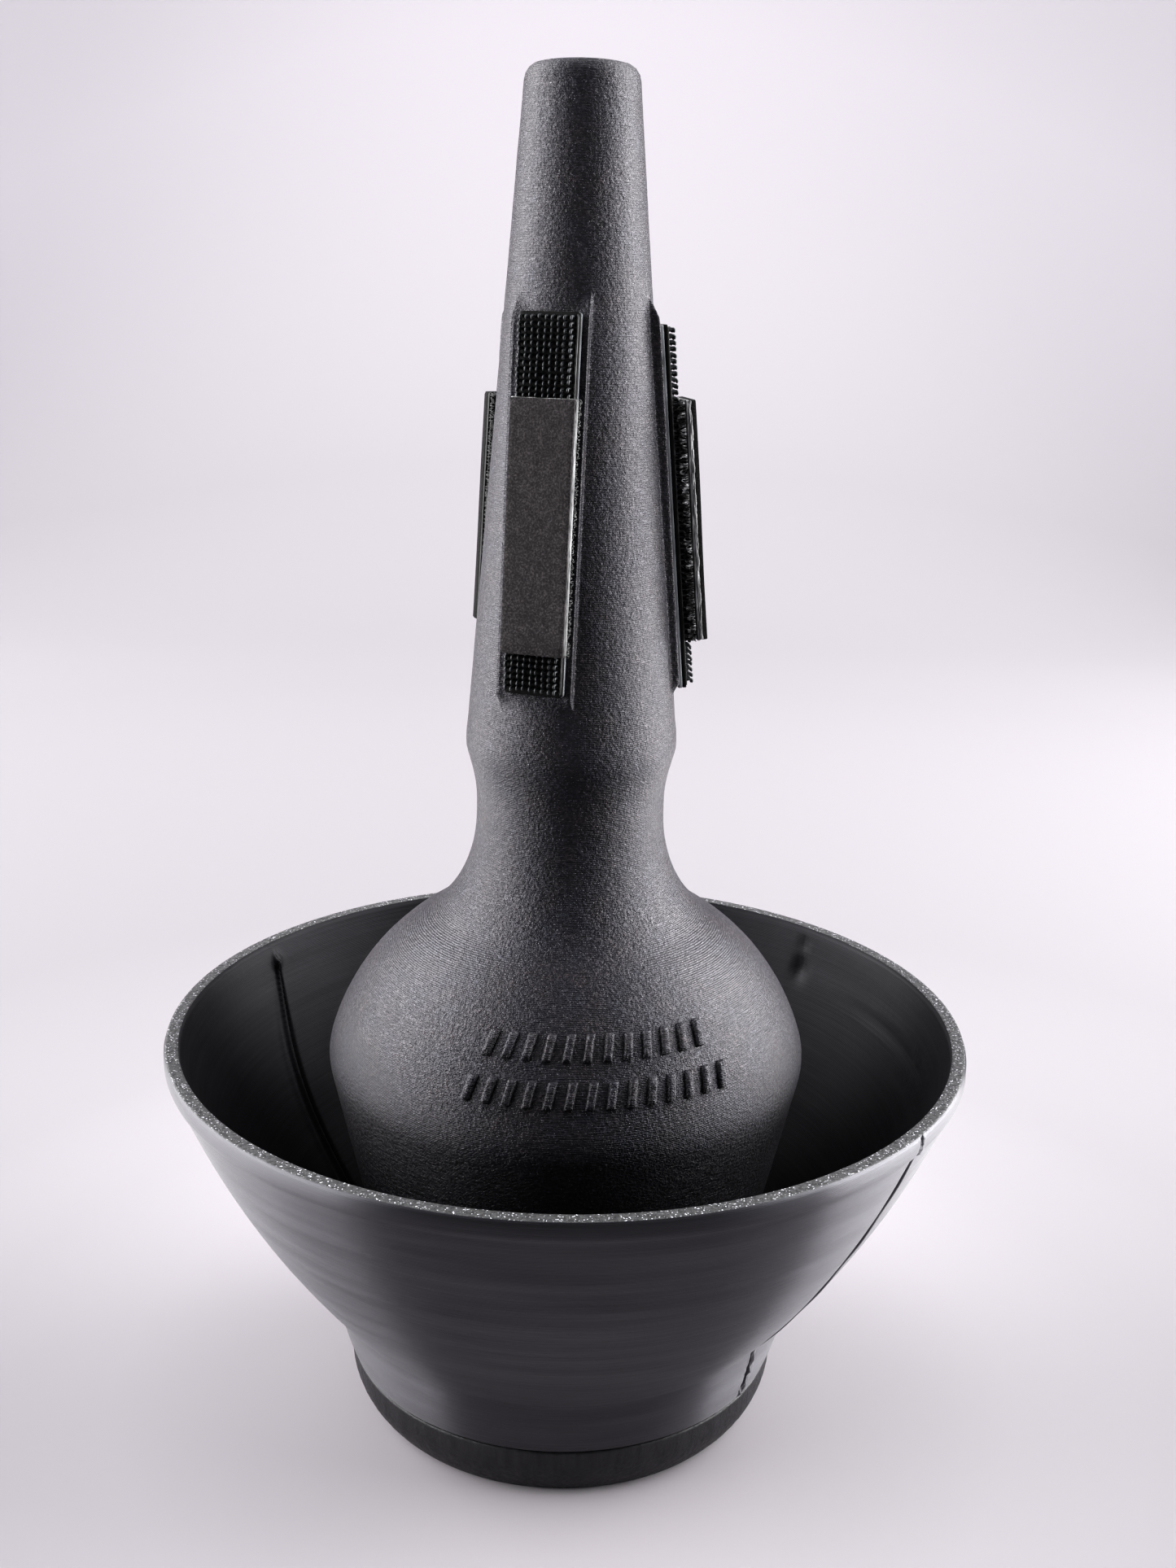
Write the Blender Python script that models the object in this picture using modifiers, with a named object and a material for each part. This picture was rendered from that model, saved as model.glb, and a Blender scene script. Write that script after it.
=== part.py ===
"""Cup mute for a trumpet: a hollow core that stands in a removable cup, with three grip pads
held to the core by hook-and-loop tape. Metres, +Z up, origin at the centre of the flat base."""

import math

import bmesh
import bpy
from mathutils import Matrix, Vector

MM = 0.001
GAP = 0.3 * MM  # clearance between printed pieces that touch
LAYER_GAP = 0.08 * MM  # clearance between the thin layers of one tape stack
STEPS = 64  # facets round each turned piece

# Core: a cone, a waist, a rounded bulb and a tapered plug. Points are (radius, height).
CORE_TOP = 199.5 * MM
CORE_WALL = 2.1 * MM
LIP_FILLET = 2.3 * MM
CONE_FOOT = (15.24 * MM, 110.4 * MM)
CONE_TAPER = 0.085  # radius lost per unit of height
RIDGE = (15.66 * MM, 106.6 * MM)
WAIST_RADIUS = 13.98 * MM
WAIST_TOP = 97.6 * MM
WAIST_FOOT = 96.0 * MM
WAIST_FLARE = ((1.13 * MM, 104.1 * MM), (0.48 * MM, 101.6 * MM), (0.12 * MM, 99.1 * MM))  # (added radius, height)
SHOULDER_TOP = (22.2 * MM, 79.1 * MM)
SHOULDER_SLOPE = math.radians(60)  # from vertical, where the flare turns into the shoulder
SHOULDER_RADIUS = 34.0 * MM
CORNER_TOP = (36.06 * MM, 60.9 * MM)
CORNER_RADIUS = 9.9 * MM
PLUG_TOP = (36.36 * MM, 55.52 * MM)
PLUG_TAPER = 0.2231
PLUG_FILLET = 1.5 * MM
END_WALL = 2.6 * MM

# Cup: a thin bowl with a proud lip, on a short collar bored to take the core's plug.
RIM_RADIUS = 61.0 * MM
RIM_HEIGHT = 62.0 * MM
LIP_HEIGHT = 2.8 * MM
LIP_STEP = 0.8 * MM
BOWL_WALL = 2.1 * MM
BOWL_RADIUS = 140.2 * MM
BOWL_FOOT = (36.5 * MM, 17.9 * MM)
COLLAR_RADIUS = 37.3 * MM
COLLAR_FOOT = (34.1 * MM, 8.55 * MM)
SHELF_HEIGHT = 20.0 * MM
SPIGOT_RADIUS = 30.6 * MM
SPIGOT_TOP = 12.0 * MM

# Base cap: closes the collar, and is the flat foot that the mute stands on.
CAP_RADIUS = 34.0 * MM
CAP_TOP = COLLAR_FOOT[1] - GAP
CAP_SIDE_FOOT = 6.84 * MM
CAP_ROUNDING = 9.64 * MM
FOOT_RADIUS = 31.15 * MM
CAP_FLOOR = 2.5 * MM

# Strips: a flat boss on the cone with a tape stack on it, three times round.
STRIPS = {  # name: (azimuth from the front, height and sideways offset of the hook tape, and of the pad)
    "front": (-21.0, (142.1 * MM, 0.5 * MM), (139.4 * MM, 1.35 * MM)),
    "right": (99.0, (140.6 * MM, -0.1 * MM), (138.9 * MM, -0.2 * MM)),
    "rear": (219.0, (140.6 * MM, 0.0), (138.9 * MM, 0.0)),
}
BOSS_TOP = (10.45 * MM, 167.0 * MM)  # distance of the flat from the axis, and its height
BOSS_FOOT = (14.92 * MM, 116.2 * MM)
BOSS_WIDTH = 11.0 * MM
BOSS_DEPTH = 2.0 * MM
BOSS_RAMP = 3.8 * MM  # how far the top of the boss slopes back over its depth
BOSS_EDGE = 0.45 * MM
TAPE_WIDTH = 8.6 * MM
TAPE_LENGTH = 51.3 * MM
PAD_WIDTH = 9.2 * MM
PAD_LENGTH = 34.0 * MM
ADHESIVE = 0.55 * MM
HOOK_TAPE = 1.65 * MM  # film and hooks
HOOK_CLEARANCE = 0.15 * MM
LOOP_TAPE = 0.55 * MM
PAD_ADHESIVE = 0.40 * MM
FOAM = 0.94 * MM


def empty_scene():
    for obj in list(bpy.data.objects):
        bpy.data.objects.remove(obj, do_unlink=True)


def collection(name):
    made = bpy.data.collections.new(name)
    bpy.context.scene.collection.children.link(made)
    return made


def material(name, colour, roughness):
    made = bpy.data.materials.new(name)
    made.use_nodes = True
    shader = made.node_tree.nodes["Principled BSDF"]
    shader.inputs["Base Color"].default_value = (*colour, 1.0)
    shader.inputs["Roughness"].default_value = roughness
    shader.inputs["Metallic"].default_value = 0.0
    return made


def add_object(name, mesh, parts, finish):
    obj = bpy.data.objects.new(name, mesh)
    parts.objects.link(obj)
    if finish:
        mesh.materials.append(finish)
    return obj


def arc_between(start, end, radius, steps):
    """Points after start up to end, on an arc that bulges away from the axis going down."""
    a = Vector(start)
    b = Vector(end)
    half = (b - a).length / 2
    along = (b - a).normalized()
    inward = Vector((along.y, -along.x))
    centre = (a + b) / 2 + inward * math.sqrt(radius**2 - half**2)
    first = a - centre
    sweep = 2 * math.asin(half / radius)
    points = []
    for i in range(1, steps + 1):
        turn = -sweep * i / steps
        c = math.cos(turn)
        s = math.sin(turn)
        points.append((centre.x + c * first.x - s * first.y, centre.y + s * first.x + c * first.y))
    return points


def bezier(points, steps):
    """Points after the first on a cubic Bezier curve."""
    made = []
    for i in range(1, steps + 1):
        t = i / steps
        weights = ((1 - t) ** 3, 3 * t * (1 - t) ** 2, 3 * t * t * (1 - t), t**3)
        made.append(tuple(sum(w * p[k] for w, p in zip(weights, points)) for k in (0, 1)))
    return made


def cone_radius(height):
    return CONE_FOOT[0] - CONE_TAPER * (height - CONE_FOOT[1])


def plug_radius(height):
    return PLUG_TOP[0] - PLUG_TAPER * (PLUG_TOP[1] - height)


def core_side(inset):
    """The core's side from the cone's foot down to the plug, moved in by the wall's thickness."""
    waist = WAIST_RADIUS - inset
    slope = SHOULDER_SLOPE
    out = Vector((math.cos(slope), math.sin(slope)))
    down = Vector((math.sin(slope), -math.cos(slope)))
    shoulder = Vector(SHOULDER_TOP) - out * inset
    corner_out = Vector((math.cos(math.radians(18)), math.sin(math.radians(18))))
    plug_out = Vector((1, -PLUG_TAPER)).normalized()
    corner = Vector(CORNER_TOP) - corner_out * inset
    plug = Vector(PLUG_TOP) - plug_out * inset
    side = [(waist, WAIST_TOP), (waist, WAIST_FOOT)]
    pull = shoulder - down * 4.5 * MM
    side += bezier([(waist, WAIST_FOOT), (waist, WAIST_FOOT - 9 * MM), pull, shoulder], 7)
    side += arc_between(shoulder, corner, SHOULDER_RADIUS - inset, 7)
    side += arc_between(corner, plug, CORNER_RADIUS - inset, 4)
    return side


def core_profile():
    base = CAP_FLOOR + GAP
    floor = base + END_WALL
    lip_foot = CORE_TOP - LIP_FILLET
    mouth = cone_radius(CORE_TOP) - CORE_WALL
    inner = core_side(CORE_WALL)
    profile = [(0, floor), (plug_radius(floor) - CORE_WALL, floor)]
    profile += inner[::-1]
    profile += [(cone_radius(CONE_FOOT[1]) - CORE_WALL, RIDGE[1]), (mouth, CORE_TOP)]
    lip_start = (cone_radius(lip_foot) - LIP_FILLET, CORE_TOP)
    profile += [lip_start]
    profile += arc_between(lip_start, (cone_radius(lip_foot), lip_foot), LIP_FILLET, 4)
    profile += [CONE_FOOT, (RIDGE[0], RIDGE[1] + 0.8 * MM), (RIDGE[0] - 0.1 * MM, RIDGE[1] - 0.7 * MM)]
    profile += [(WAIST_RADIUS + added, height) for added, height in WAIST_FLARE]
    profile += core_side(0)
    heel = base + PLUG_FILLET
    profile += [(plug_radius(heel), heel)]
    profile += arc_between((plug_radius(heel), heel), (plug_radius(base) - PLUG_FILLET, base), PLUG_FILLET, 2)
    profile += [(0, base)]
    return profile


def cup_profile():
    """A closed outline, from the rim's outer edge down the outside and back up the inside."""
    lip_foot = RIM_HEIGHT - LIP_HEIGHT
    bowl_top = (RIM_RADIUS - LIP_STEP, lip_foot - LIP_STEP / 2)
    rim_inner = (RIM_RADIUS - BOWL_WALL, RIM_HEIGHT)
    shelf_edge = (35.4 * MM, SHELF_HEIGHT)
    edge = 0.25 * MM
    outline = [(RIM_RADIUS - edge, RIM_HEIGHT), (RIM_RADIUS, RIM_HEIGHT - edge), (RIM_RADIUS, lip_foot)]
    outline += [bowl_top]
    outline += arc_between(bowl_top, BOWL_FOOT, BOWL_RADIUS, 9)
    outline += arc_between(BOWL_FOOT, COLLAR_FOOT, COLLAR_RADIUS, 3)
    counterbore = SPIGOT_RADIUS + GAP
    outline += [(counterbore, COLLAR_FOOT[1]), (counterbore, SPIGOT_TOP + GAP)]
    bore_foot = SPIGOT_TOP + GAP
    bore_top = SHELF_HEIGHT - MM
    outline += [(plug_radius(bore_foot) + GAP, bore_foot), (plug_radius(bore_top) + GAP, bore_top)]
    outline += [(plug_radius(bore_top) + GAP + MM, SHELF_HEIGHT), shelf_edge]
    inside = [rim_inner] + arc_between(rim_inner, shelf_edge, BOWL_RADIUS - BOWL_WALL, 9)
    return outline + inside[:-1][::-1]


def cap_profile():
    recess = plug_radius(CAP_FLOOR) + GAP
    profile = [(0, CAP_FLOOR), (recess, CAP_FLOOR), (plug_radius(SPIGOT_TOP) + GAP, SPIGOT_TOP)]
    profile += [(SPIGOT_RADIUS - 0.5 * MM, SPIGOT_TOP), (SPIGOT_RADIUS, SPIGOT_TOP - 0.5 * MM)]
    profile += [(SPIGOT_RADIUS, CAP_TOP), (CAP_RADIUS, CAP_TOP), (CAP_RADIUS, CAP_SIDE_FOOT)]
    profile += arc_between((CAP_RADIUS, CAP_SIDE_FOOT), (FOOT_RADIUS, 0), CAP_ROUNDING, 5)
    return profile + [(0, 0)]


def turned(name, profile, closed, parts, finish):
    """A profile in the XZ plane turned round Z. It ends on the axis, or is a closed outline."""
    mesh = bpy.data.meshes.new(name)
    count = len(profile)
    edges = [(i, i + 1) for i in range(count - 1)]
    if closed:
        edges.append((count - 1, 0))
    mesh.from_pydata([(r, 0, z) for r, z in profile], edges, [])
    obj = add_object(name, mesh, parts, finish)
    screw = obj.modifiers.new("Turn", "SCREW")
    screw.axis = "Z"
    screw.angle = math.tau
    screw.steps = STEPS
    screw.render_steps = STEPS
    screw.use_merge_vertices = True
    screw.merge_threshold = 0.00001
    screw.use_smooth_shade = True
    return obj


def slab(name, width, length, thickness, edge, parts, finish):
    """A flat strip with its back on local Z = 0 and its edges rounded."""
    mesh = bpy.data.meshes.new(name)
    shape = bmesh.new()
    size = Matrix.Diagonal((width, length, thickness, 1))
    bmesh.ops.create_cube(shape, size=1, matrix=Matrix.Translation((0, 0, thickness / 2)) @ size)
    shape.to_mesh(mesh)
    shape.free()
    obj = add_object(name, mesh, parts, finish)
    bevel = obj.modifiers.new("Edge", "BEVEL")
    bevel.width = edge
    bevel.segments = 1
    return obj


def face_frame(azimuth, height):
    """The boss's flat at a height: X across the strip, Y up its slope, Z out of the face."""
    turn = math.radians(azimuth)
    radial = Vector((math.sin(turn), -math.cos(turn), 0))
    across = Vector((math.cos(turn), math.sin(turn), 0))
    rise = BOSS_TOP[1] - BOSS_FOOT[1]
    run = BOSS_FOOT[0] - BOSS_TOP[0]
    up = (Vector((0, 0, rise)) - radial * run).normalized()
    out = across.cross(up)
    distance = BOSS_FOOT[0] - run * (height - BOSS_FOOT[1]) / rise
    frame = Matrix((across, up, out)).transposed().to_4x4()
    frame.translation = radial * distance + Vector((0, 0, height))
    return frame


def cut_boss(core, azimuth, name, cutters):
    """A flat boss joined to the core, with a ramp at its top."""
    middle = (BOSS_TOP[1] + BOSS_FOOT[1]) / 2
    length = math.dist(BOSS_TOP, BOSS_FOOT)
    mesh = bpy.data.meshes.new(name)
    shape = bmesh.new()
    size = Matrix.Diagonal((BOSS_WIDTH, length, BOSS_DEPTH, 1))
    bmesh.ops.create_cube(shape, size=1, matrix=Matrix.Translation((0, 0, -BOSS_DEPTH / 2)) @ size)
    for vertex in shape.verts:
        if vertex.co.y > 0 and vertex.co.z < -BOSS_DEPTH / 2:
            vertex.co.y += BOSS_RAMP
    shape.to_mesh(mesh)
    shape.free()
    boss = add_object(name, mesh, cutters, None)
    bevel = boss.modifiers.new("Edge", "BEVEL")
    bevel.width = BOSS_EDGE
    bevel.segments = 2
    boss.matrix_world = face_frame(azimuth, middle)
    boss.hide_render = True
    boss.display_type = "WIRE"
    join = core.modifiers.new(name, "BOOLEAN")
    join.operation = "UNION"
    join.solver = "EXACT"
    join.object = boss


def tape_stack(name, azimuth, tape_place, pad_place, parts, finishes):
    """The hook tape that stays on the core, and the pad that presses on to it."""
    tape_frame = bpy.data.objects.new("tape_frame_" + name, None)
    pad_frame = bpy.data.objects.new("pad_frame_" + name, None)
    tape_frame.matrix_world = face_frame(azimuth, tape_place[0]) @ Matrix.Translation((tape_place[1], 0, 0))
    pad_frame.matrix_world = face_frame(azimuth, pad_place[0]) @ Matrix.Translation((pad_place[1], 0, 0))
    parts.objects.link(tape_frame)
    parts.objects.link(pad_frame)
    layers = (
        ("hook_adhesive", tape_frame, TAPE_WIDTH, TAPE_LENGTH, ADHESIVE, LAYER_GAP, 0.05 * MM),
        ("hook_tape", tape_frame, TAPE_WIDTH, TAPE_LENGTH, HOOK_TAPE, LAYER_GAP, 0.15 * MM),
        ("loop_tape", pad_frame, PAD_WIDTH, PAD_LENGTH, LOOP_TAPE, HOOK_CLEARANCE, 0.10 * MM),
        ("pad_adhesive", pad_frame, PAD_WIDTH, PAD_LENGTH, PAD_ADHESIVE, LAYER_GAP, 0.05 * MM),
        ("foam_pad", pad_frame, PAD_WIDTH, PAD_LENGTH, FOAM, LAYER_GAP, 0.20 * MM),
    )
    level = 0
    for layer, frame, width, length, thickness, clearance, edge in layers:
        level += clearance
        piece = slab(layer + "_" + name, width, length, thickness, edge, parts, finishes[layer])
        piece.parent = frame
        piece.location = (0, 0, level)
        level += thickness


def build():
    empty_scene()
    parts = collection("cup_mute")
    cutters = collection("cutters")
    core_print = material("core_print", (0.035, 0.035, 0.038), 0.62)
    cup_print = material("cup_print", (0.022, 0.023, 0.025), 0.38)
    cap_print = material("cap_print", (0.018, 0.018, 0.020), 0.55)
    finishes = {
        "hook_adhesive": material("hook_adhesive", (0.16, 0.17, 0.18), 0.35),
        "hook_tape": material("hook_tape", (0.010, 0.010, 0.011), 0.40),
        "loop_tape": material("loop_tape", (0.020, 0.021, 0.022), 0.90),
        "pad_adhesive": material("pad_adhesive", (0.30, 0.29, 0.27), 0.60),
        "foam_pad": material("foam_pad", (0.026, 0.022, 0.020), 0.92),
    }
    turned("base_cap", cap_profile(), False, parts, cap_print)
    turned("cup_bowl", cup_profile(), True, parts, cup_print)
    core = turned("core_shell", core_profile(), False, parts, core_print)
    for name, (azimuth, tape_place, pad_place) in STRIPS.items():
        cut_boss(core, azimuth, "boss_" + name, cutters)
        tape_stack(name, azimuth, tape_place, pad_place, parts, finishes)


build()
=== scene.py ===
"""The looks of a printed cup mute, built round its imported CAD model."""

import math

import bpy
import numpy as np
from mathutils import Matrix, Vector, noise


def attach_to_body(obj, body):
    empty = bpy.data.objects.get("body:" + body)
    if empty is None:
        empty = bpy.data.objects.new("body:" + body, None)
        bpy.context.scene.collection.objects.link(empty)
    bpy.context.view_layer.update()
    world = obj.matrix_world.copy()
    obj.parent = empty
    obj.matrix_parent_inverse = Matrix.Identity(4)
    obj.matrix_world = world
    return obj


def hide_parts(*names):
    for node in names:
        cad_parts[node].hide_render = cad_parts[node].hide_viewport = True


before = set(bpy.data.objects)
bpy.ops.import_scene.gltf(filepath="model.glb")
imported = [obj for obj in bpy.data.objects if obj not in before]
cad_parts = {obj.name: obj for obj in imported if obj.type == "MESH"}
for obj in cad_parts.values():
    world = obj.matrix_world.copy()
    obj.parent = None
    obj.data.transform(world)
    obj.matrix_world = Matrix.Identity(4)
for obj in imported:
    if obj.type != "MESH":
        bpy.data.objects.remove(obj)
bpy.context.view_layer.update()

MM = 0.001
SEED = 7
LAYER = 0.2 * MM  # height of a print layer

# Core, as in the CAD source: (radius, height) points and radii.
CORE_TOP = 199.5 * MM
CORE_WALL = 2.1 * MM
LIP_FILLET = 2.3 * MM
CONE_FOOT = (15.24 * MM, 110.4 * MM)
CONE_TAPER = 0.085
RIDGE = (15.66 * MM, 106.6 * MM)
WAIST_RADIUS = 13.98 * MM
WAIST_TOP = 97.6 * MM
WAIST_FOOT = 96.0 * MM
SHOULDER_TOP = (22.2 * MM, 79.1 * MM)
SHOULDER_SLOPE = math.radians(60)
SHOULDER_RADIUS = 34.0 * MM
CORNER_TOP = (36.06 * MM, 60.9 * MM)
CORNER_RADIUS = 9.9 * MM
PLUG_TOP = (36.36 * MM, 55.52 * MM)
PLUG_TAPER = 0.2231
PLUG_FOOT = 2.8 * MM
END_WALL = 2.6 * MM
BOSS_TOP = (10.45 * MM, 167.0 * MM)
BOSS_FOOT = (14.92 * MM, 116.2 * MM)
BOSS_HALF_WIDTH = 5.38 * MM

# Cup and base.
RIM_RADIUS = 61.0 * MM
RIM_HEIGHT = 62.0 * MM
LIP_HEIGHT = 2.8 * MM
LIP_STEP = 0.8 * MM
BOWL_WALL = 2.1 * MM
BOWL_RADIUS = 140.2 * MM
BOWL_FOOT = (36.5 * MM, 17.9 * MM)
COLLAR_RADIUS = 37.3 * MM
COLLAR_FOOT = (34.05 * MM, 8.40 * MM)
SHELF_HEIGHT = 20.0 * MM
SPIGOT_RADIUS = 30.6 * MM
SPIGOT_TOP = 12.0 * MM
SOCKET_TOP = 12.3 * MM
SHELF_RADIUS = 35.4 * MM
RIM_EDGE = 0.22 * MM
FIT = 0.3 * MM  # gap round the plug and the spigot
CAP_TOP = 8.34 * MM
CAP_RADIUS = 34.0 * MM
CAP_SIDE_FOOT = 6.84 * MM
CAP_ROUNDING = 9.64 * MM
CAP_FLOOR = 2.5 * MM
FOOT_RADIUS = 31.15 * MM

STRIPS = {"front": -21.0, "right": 99.0, "rear": 219.0}  # azimuths from -Y towards +X


# Node materials ------------------------------------------------------------------------------


class Shade:
    """A Principled material and short ways to wire its nodes."""

    def __init__(self, name, **values):
        self.material = bpy.data.materials.new(name)
        self.material.use_nodes = True
        self.tree = self.material.node_tree
        self.shader = self.tree.nodes["Principled BSDF"]
        for key, value in values.items():
            self.shader.inputs[key.replace("_", " ")].default_value = value
        self.place = self.node("ShaderNodeTexCoord").outputs["Object"]

    def node(self, kind, links=(), **settings):
        made = self.tree.nodes.new(kind)
        for key, value in settings.items():
            setattr(made, key, value)
        for socket, source in dict(links).items():
            if isinstance(source, bpy.types.NodeSocket):
                self.tree.links.new(source, made.inputs[socket])
            else:
                made.inputs[socket].default_value = source
        return made

    def stretched(self, x, y, z):
        """Object coordinates scaled along each axis."""
        return self.node("ShaderNodeMapping", {"Vector": self.place, "Scale": (x, y, z)}).outputs[0]

    def noise(self, scale, detail=2.0, rough=0.5, place=None):
        links = {"Vector": place or self.place, "Scale": scale, "Detail": detail, "Roughness": rough}
        return self.node("ShaderNodeTexNoise", links).outputs["Fac"]

    def layers(self):
        """Print layers: a slightly uneven sine along Z."""
        links = {"Vector": self.place, "Scale": math.tau / (20 * LAYER), "Distortion": 1.2, "Detail": 1.0}
        made = self.node("ShaderNodeTexWave", links, wave_type="BANDS", bands_direction="Z")
        return made.outputs["Fac"]

    def ramp(self, source, stops):
        """Values or colours at positions along a number."""
        made = self.node("ShaderNodeValToRGB", {"Fac": source})
        elements = made.color_ramp.elements
        while len(elements) < len(stops):
            elements.new(0.5)
        for element, (at, value) in zip(elements, stops):
            element.position = at
            element.color = (value,) * 3 + (1,) if isinstance(value, (int, float)) else (*value, 1)
        return made.outputs["Color"]

    def math(self, operation, a, b=0.0):
        return self.node("ShaderNodeMath", {0: a, 1: b}, operation=operation).outputs[0]

    def mix(self, factor, a, b, blend="MIX"):
        """Two colours mixed; 6 and 7 are the node's colour inputs, and 2 is its colour output."""
        links = {"Factor": factor, 6: a, 7: b}
        return self.node("ShaderNodeMix", links, data_type="RGBA", blend_type=blend).outputs[2]

    def set(self, socket, source):
        """Link a source to one of the Principled shader's sockets."""
        self.tree.links.new(source, self.shader.inputs[socket])

    def bump(self, height, distance, strength=1.0, below=None):
        links = {"Height": height, "Distance": distance, "Strength": strength}
        if below is not None:
            links["Normal"] = below
        return self.node("ShaderNodeBump", links).outputs[0]


def grey(value, warm=0.0):
    """A grey, warmer above 0 and colder below."""
    return (value * (1 + warm), value, value * (1 - warm))


def round_tangent(shade, spread):
    """Fine levels that run round Z and spread reflections up and down."""
    tangent = shade.node("ShaderNodeTangent", direction_type="RADIAL", axis="Z")
    shade.set("Tangent", tangent.outputs[0])
    shade.shader.inputs["Anisotropic"].default_value = spread
    shade.shader.inputs["Anisotropic Rotation"].default_value = 0.25


def core_material():
    """Matt print with a fuzzy skin over its layers, mottled, with a few bright flecks that are painted
    glints.
    """
    tint = (0.98, 0.95, 1.0, 1)
    shade = Shade("core_skin", Roughness=0.46, Specular_IOR_Level=0.9, Specular_Tint=tint)
    round_tangent(shade, 0.6)
    grain = shade.noise(2200, 3, 0.65)
    dashes = shade.noise(1.0, 2, 0.5, shade.stretched(700, 700, 3200))
    mottle = shade.noise(240, 2, 0.5)
    tones = [(0.38, (0.001, 0.001, 0.002)), (0.52, (0.005, 0.005, 0.008)), (0.66, (0.042, 0.039, 0.043))]
    tone = shade.ramp(grain, tones)
    hue = shade.ramp(mottle, [(0.35, (0.85, 0.96, 1.16)), (0.65, (1.18, 0.97, 0.90))])
    tinted = shade.mix(1.0, tone, hue, "MULTIPLY")
    # Painted glints: tiny pale specks in the base colour stand in for the skin catching the light.
    painted_glints = shade.ramp(shade.noise(6500, 0, 0.5), [(0.76, 0.0), (0.80, 1.0)])
    shade.set("Base Color", shade.mix(painted_glints, tinted, (0.25, 0.25, 0.27, 1)))
    shade.set("Roughness", shade.ramp(grain, [(0.35, 0.52), (0.7, 0.36)]))
    low = shade.bump(shade.layers(), 0.05 * MM, 1.0)
    middle = shade.bump(dashes, 0.14 * MM, 1.0, low)
    shade.set("Normal", shade.bump(grain, 0.17 * MM, 1.0, middle))
    return shade.material


def cup_material(name, roughness, specular, spread, relief):
    """Satin print: fine level lines that pull highlights into soft upright streaks."""
    tint = (0.96, 0.94, 1.0, 1)
    shade = Shade(name, Roughness=roughness, Specular_IOR_Level=specular, Specular_Tint=tint, IOR=1.58)
    round_tangent(shade, spread)
    lines = shade.noise(1.0, 3, 0.6, shade.stretched(45, 45, 2600))
    broad = shade.noise(1.0, 2, 0.5, shade.stretched(30, 30, 420))
    cloud = shade.noise(90, 2, 0.5)
    tone = [(0.3, (0.008, 0.0078, 0.009)), (0.7, (0.018, 0.0175, 0.020))]
    shade.set("Base Color", shade.ramp(lines, tone))
    level = shade.ramp(broad, [(0.3, roughness - 0.06), (0.7, roughness + 0.02)])
    shade.set("Roughness", shade.math("ADD", level, shade.math("MULTIPLY", cloud, 0.05)))
    low = shade.bump(shade.layers(), 0.012 * MM, 1.0)
    middle = shade.bump(lines, relief, 0.9, low)
    shade.set("Normal", shade.bump(broad, 0.04 * MM, 0.5, middle))
    return shade.material


def rim_material():
    """The rim's top face: a coarse last layer, painted paler than the cup's sides as light falling on it
    from above, with painted glints.
    """
    shade = Shade("rim_top", Roughness=0.4)
    grain = shade.noise(1500, 3, 0.65)
    # Painted glints: pale specks in the base colour. Painted light: the tone is paler than the sides' for
    # the lit top face.
    painted_glints = shade.ramp(shade.noise(3800, 0, 0.5), [(0.70, 0.0), (0.76, 1.0)])
    tone = shade.ramp(grain, [(0.3, grey(0.02)), (0.7, grey(0.11))])
    shade.set("Base Color", shade.mix(painted_glints, tone, (0.6, 0.6, 0.63, 1)))
    shade.set("Roughness", shade.ramp(grain, [(0.35, 0.5), (0.7, 0.24)]))
    shade.set("Normal", shade.bump(grain, 0.22 * MM, 1.0))
    return shade.material


def cap_material():
    """Matt print with faint upright scuffs."""
    shade = Shade("cap_skin", Roughness=0.5)
    grain = shade.noise(1500, 3, 0.6)
    scuffs = shade.noise(1.0, 2, 0.6, shade.stretched(900, 900, 120))
    tone = [(0.35, (0.009, 0.0085, 0.010)), (0.75, (0.022, 0.021, 0.024))]
    shade.set("Base Color", shade.ramp(scuffs, tone))
    shade.set("Roughness", shade.ramp(grain, [(0.3, 0.58), (0.7, 0.42)]))
    low = shade.bump(scuffs, 0.08 * MM, 0.6)
    shade.set("Normal", shade.bump(grain, 0.10 * MM, 0.8, low))
    return shade.material


def hook_material():
    """Black moulded plastic, slightly glossy and a little cold."""
    shade = Shade("hook_plastic", Roughness=0.42, Specular_IOR_Level=0.8)
    grain = shade.noise(1800, 2, 0.5)
    shade.set("Base Color", shade.ramp(grain, [(0.3, grey(0.020, -0.06)), (0.7, grey(0.050, -0.10))]))
    shade.set("Normal", shade.bump(grain, 0.03 * MM, 0.6))
    return shade.material


def film_material():
    """The hooks' film: the hooks' plastic painted black and dull, as painted shade between the hooks."""
    shade = Shade("hook_film_painted_shade", Roughness=0.6, Specular_IOR_Level=0.2)
    grain = shade.noise(1200, 2, 0.5)
    # Painted shade: far darker than the hooks' plastic, for the shade in the gaps between the hooks.
    shade.set("Base Color", shade.ramp(grain, [(0.3, grey(0.003)), (0.7, grey(0.008))]))
    return shade.material


def selvage_material():
    """The film's edge rib and fringe, streaked pale as a painted highlight, with a streaky bump."""
    shade = Shade("hook_selvage_painted_highlight", Roughness=0.4)
    edge_streaks = shade.noise(1.0, 3, 0.6, shade.stretched(1800, 1800, 420))
    # Painted highlight: the pale streaks stand in for light along the rib's edge.
    shade.set("Base Color", shade.ramp(edge_streaks, [(0.35, grey(0.02)), (0.6, grey(0.12)), (0.75, grey(0.30))]))
    shade.set("Normal", shade.bump(edge_streaks, 0.06 * MM, 0.8))
    return shade.material


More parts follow.
